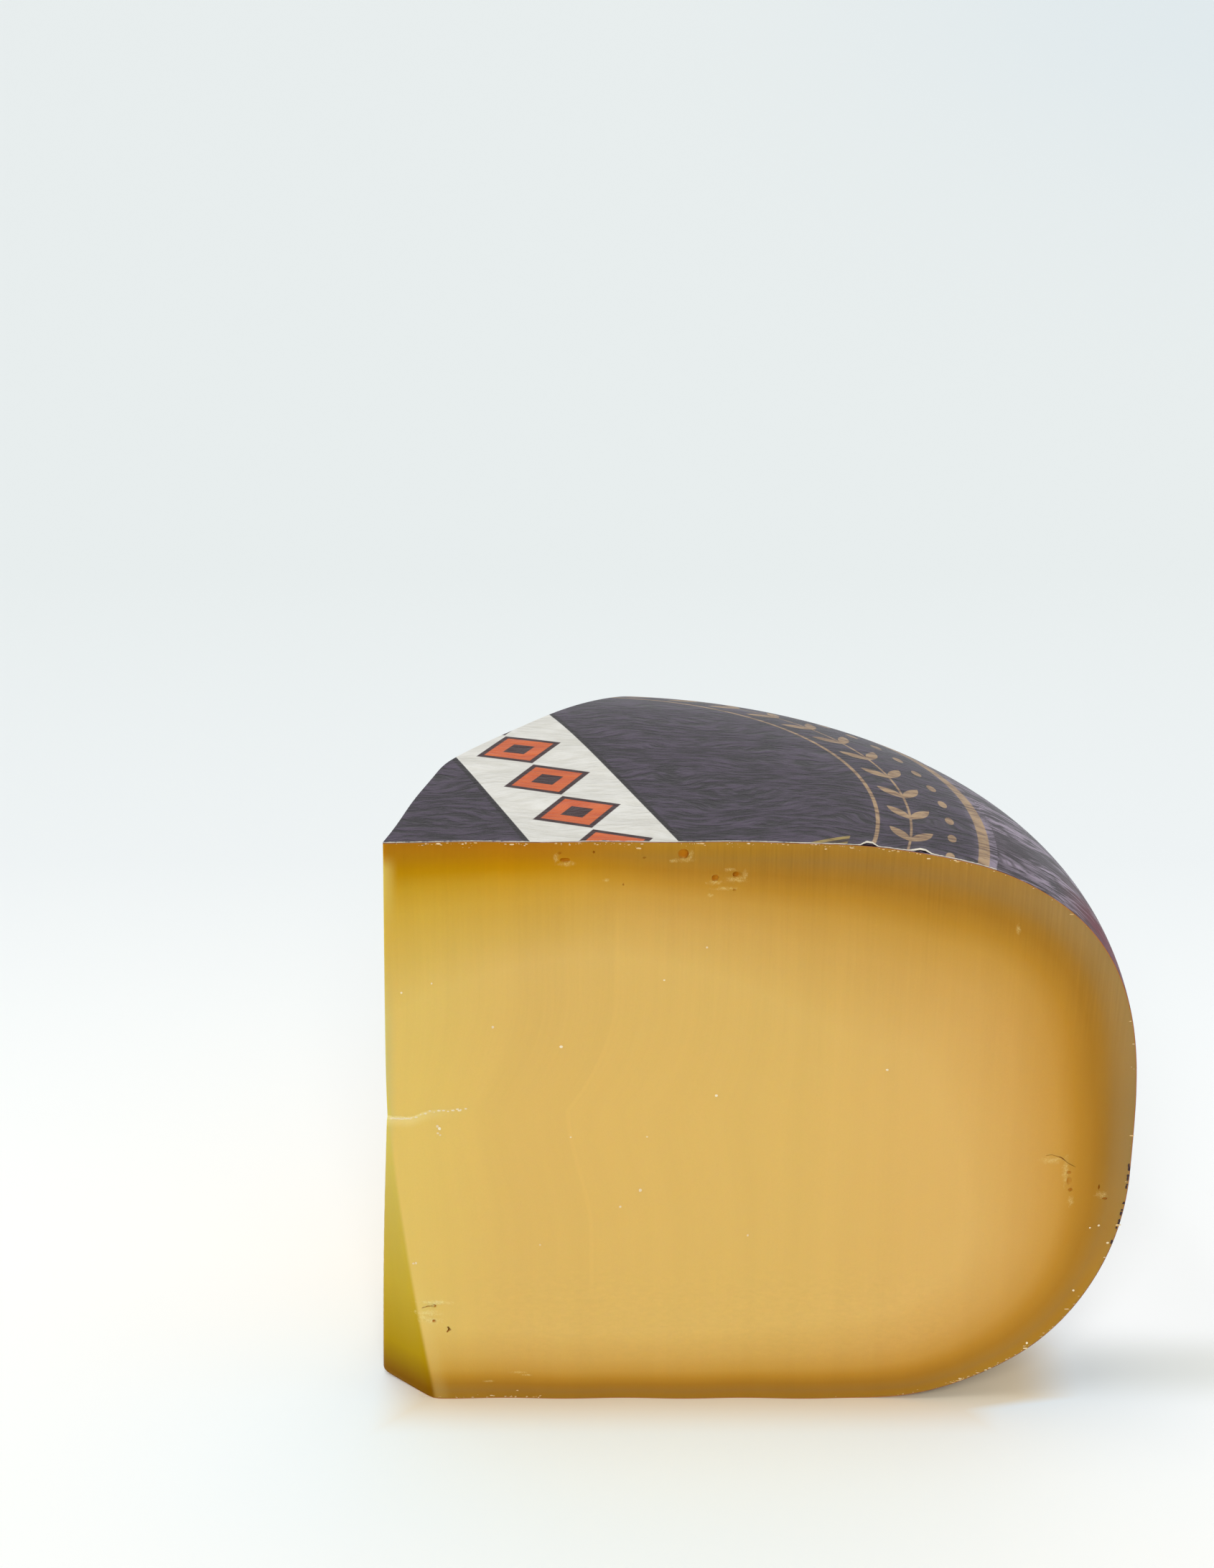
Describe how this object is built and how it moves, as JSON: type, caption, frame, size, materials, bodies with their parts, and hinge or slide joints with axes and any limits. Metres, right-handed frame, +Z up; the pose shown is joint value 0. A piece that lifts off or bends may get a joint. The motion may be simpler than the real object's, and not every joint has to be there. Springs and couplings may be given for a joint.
{
  "type": "aged gouda cheese piece",
  "caption": "Cut piece of a small aged gouda wheel with flat knife-cut faces, a round dark coated rim and a thin printed paper label on its top.",
  "frame": {"origin": "middle of the bounding box at the underside, on the surface that the piece stands on", "axes": "+X to the right along the front cut, +Y back from the front cut to the rim, +Z up"},
  "size_m": [0.1414, 0.105, 0.1201],
  "materials": {
    "paste": "firm translucent honey yellow paste, knife cut, satin",
    "coat": "brushed-on dark aubergine cheese coating, satin",
    "label_paper": "thin dark printed paper, satin, glued into the coating"
  },
  "bodies": {
    "root": {"aged_gouda_piece": "paste", "top_label": "label_paper"}
  },
  "joints": []
}
